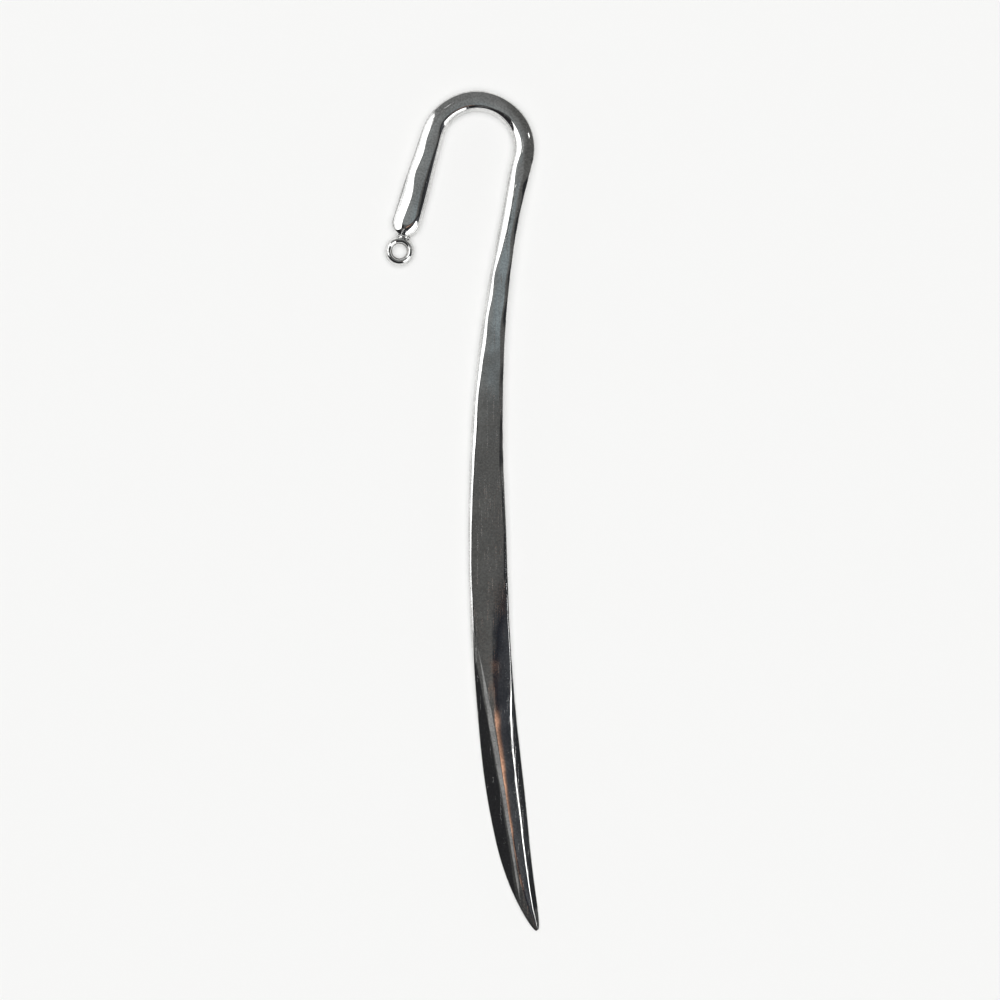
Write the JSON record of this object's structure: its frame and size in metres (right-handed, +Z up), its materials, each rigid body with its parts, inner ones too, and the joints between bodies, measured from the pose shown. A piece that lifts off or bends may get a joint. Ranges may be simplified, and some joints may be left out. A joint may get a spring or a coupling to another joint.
{
  "type": "bookmark",
  "caption": "Bright silver hook bookmark with a flat back, a sabre-shaped blade, a bevelled point and a soldered ring for a charm.",
  "frame": {"origin": "under the middle of the bookmark's outline, on its flat back", "axes": "+Y along the bookmark, from the point to the crook; +Z up from the back to the polished front; +X from the short leg to the stem"},
  "size_m": [0.0226, 0.1232, 0.0019],
  "materials": {
    "plated_bar": "polished bright plating",
    "plated_ring": "polished bright plating",
    "plated_solder": "bright plating over solder"
  },
  "bodies": {
    "root": {"hook_blade": "plated_bar", "charm_ring": "plated_ring", "solder_joint": "plated_solder"}
  },
  "joints": []
}
